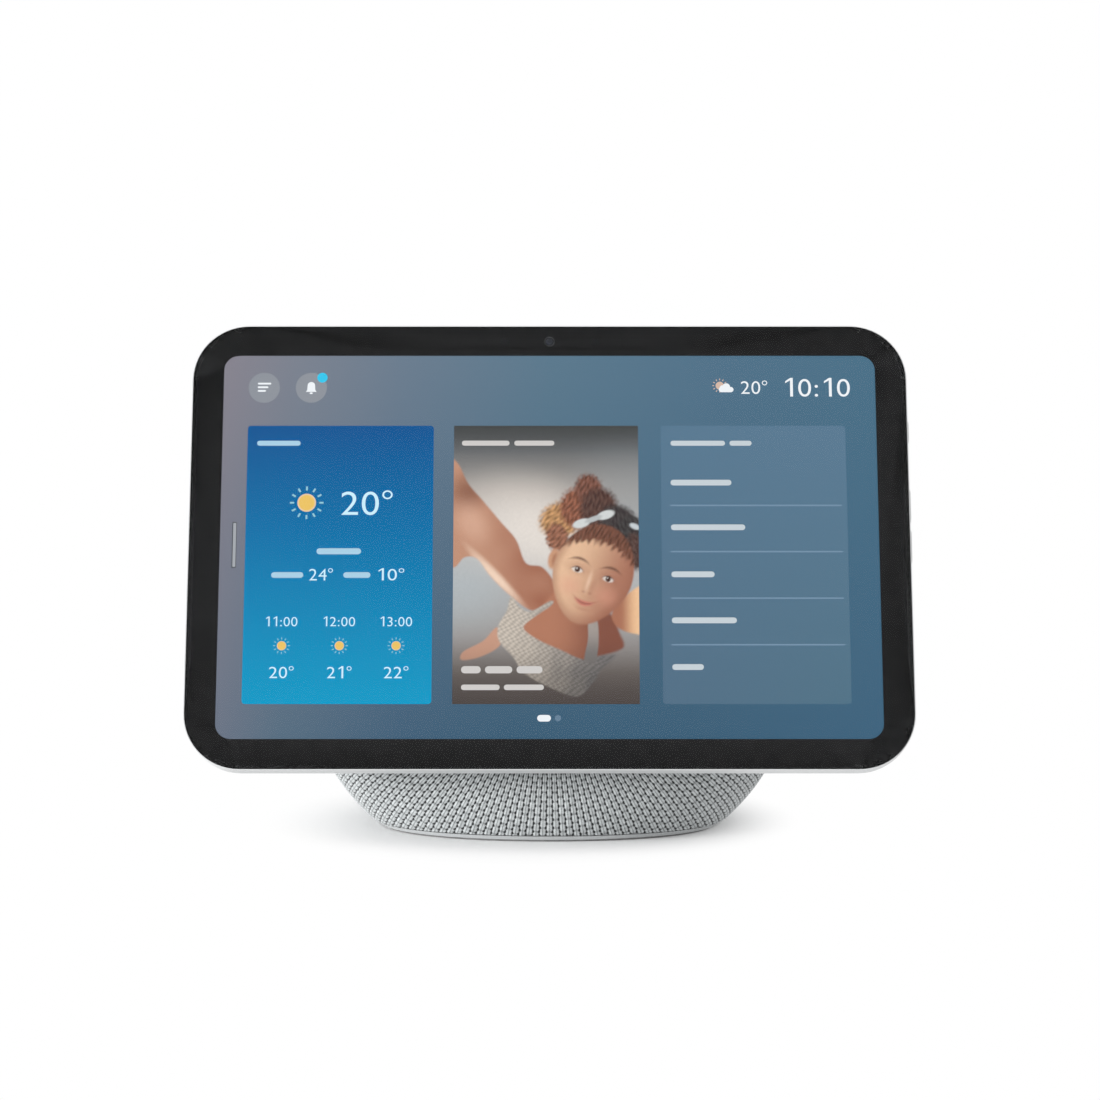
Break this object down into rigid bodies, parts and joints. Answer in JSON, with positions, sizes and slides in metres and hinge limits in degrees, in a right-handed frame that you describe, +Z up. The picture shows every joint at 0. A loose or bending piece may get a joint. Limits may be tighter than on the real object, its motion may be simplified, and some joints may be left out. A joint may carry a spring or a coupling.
{
  "type": "smart display",
  "caption": "Tabletop smart display: tilted glass-fronted screen in a slim white housing on a rounded fabric-covered speaker base.",
  "frame": {"origin": "centre of the underside of the foot, on the surface the display stands on", "axes": "+X to the right of a person looking at the screen, -Y the way the screen faces, +Z up"},
  "size_m": [0.2084, 0.1189, 0.1483],
  "materials": {
    "clear_glass": "clear polished cover glass",
    "border_ink": "black ink printed on the back of the glass",
    "screen_panel": "lit screen module behind the glass",
    "inner_frame": "moulded screen tray",
    "camera_trim": "dark glossy ring round the camera",
    "lens_glass": "coated lens",
    "sensor_tint": "dark tinted window",
    "housing_plastic": "fine satin white moulding",
    "button_plastic": "satin grey moulding",
    "base_plastic": "satin light grey moulding",
    "knit_fabric": "light grey three-dimensional knit",
    "foot_rubber": "matt dark rubber",
    "inner_black": "plain black moulding",
    "circuit_board": "green solder mask",
    "shield_steel": "tinned steel",
    "screw_steel": "zinc-plated steel",
    "neck_alloy": "plain cast alloy",
    "magnet_steel": "plated magnet and steel",
    "surround_rubber": "soft butyl rubber",
    "cone_paper": "coated pulp cone"
  },
  "bodies": {
    "base_and_screen": {"amplifier_board": "circuit_board", "antenna_left": "circuit_board", "antenna_right": "circuit_board", "backlight_unit": "screen_panel", "ballast_weight": "shield_steel", "base_plate": "base_plastic", "base_screw_1": "screw_steel", "base_screw_2": "screw_steel", "base_screw_3": "screw_steel", "base_screw_4": "screw_steel", "button_board": "circuit_board", "camera_board": "circuit_board", "camera_lens": "lens_glass", "camera_module": "inner_black", "camera_ring": "camera_trim", "cover_glass": "clear_glass", "dc_jack": "inner_black", "dc_jack_bezel": "base_plastic", "display_midframe": "inner_frame", "display_ribbon": "inner_black", "driver_baffle_left": "inner_black", "driver_baffle_right": "inner_black", "driver_frame_left": "inner_black", "driver_frame_right": "inner_black", "driver_magnet_left": "magnet_steel", "driver_magnet_right": "magnet_steel", "driver_surround_left": "surround_rubber", "driver_surround_right": "surround_rubber", "fabric_sleeve": "knit_fabric", "foot_pad": "foot_rubber", "glass_border_ink": "border_ink", "lcd_panel": "screen_panel", "main_board": "circuit_board", "mic_camera_switch": "shield_steel", "neck_clamp_ring": "neck_alloy", "neck_collar": "housing_plastic", "neck_post": "neck_alloy", "neck_screw_1": "screw_steel", "neck_screw_2": "screw_steel", "neck_screw_3": "screw_steel", "neck_screw_4": "screw_steel", "pod_front_shell": "inner_black", "pod_rear_shell": "inner_black", "rear_housing": "housing_plastic", "sensor_window_left": "sensor_tint", "sensor_window_right": "sensor_tint", "soc_shield": "shield_steel", "volume_down_switch": "shield_steel", "volume_up_switch": "shield_steel", "woofer_baffle": "inner_black", "woofer_frame": "inner_black", "woofer_magnet": "magnet_steel", "woofer_surround": "surround_rubber"},
    "mic_camera_button": {"mic_camera_button": "button_plastic"},
    "volume_up_button": {"volume_up_button": "button_plastic"},
    "volume_down_button": {"volume_down_button": "button_plastic"},
    "woofer_cone": {"woofer_cone": "cone_paper"},
    "driver_cone_left": {"driver_cone_left": "cone_paper"},
    "driver_cone_right": {"driver_cone_right": "cone_paper"}
  },
  "joints": [
    {"name": "mic_camera_button_press", "type": "slide", "parent": "base_and_screen", "child": "mic_camera_button", "axis": [-1, 0, 0], "range_m": [0, 0.0004], "stiffness_N_per_m": 1200, "springref_m": -0.0003},
    {"name": "volume_up_button_press", "type": "slide", "parent": "base_and_screen", "child": "volume_up_button", "axis": [-1, 0, 0], "range_m": [0, 0.0004], "stiffness_N_per_m": 1200, "springref_m": -0.0003},
    {"name": "volume_down_button_press", "type": "slide", "parent": "base_and_screen", "child": "volume_down_button", "axis": [-1, 0, 0], "range_m": [0, 0.0004], "stiffness_N_per_m": 1200, "springref_m": -0.0003},
    {"name": "woofer_cone_travel", "type": "slide", "parent": "base_and_screen", "child": "woofer_cone", "axis": [0, 1, 0], "range_m": [-0.002, 0.002], "stiffness_N_per_m": 900},
    {"name": "driver_cone_left_travel", "type": "slide", "parent": "base_and_screen", "child": "driver_cone_left", "axis": [-1, 0, 0], "range_m": [-0.0012, 0.0012], "stiffness_N_per_m": 700},
    {"name": "driver_cone_right_travel", "type": "slide", "parent": "base_and_screen", "child": "driver_cone_right", "axis": [1, 0, 0], "range_m": [-0.0012, 0.0012], "stiffness_N_per_m": 700}
  ]
}
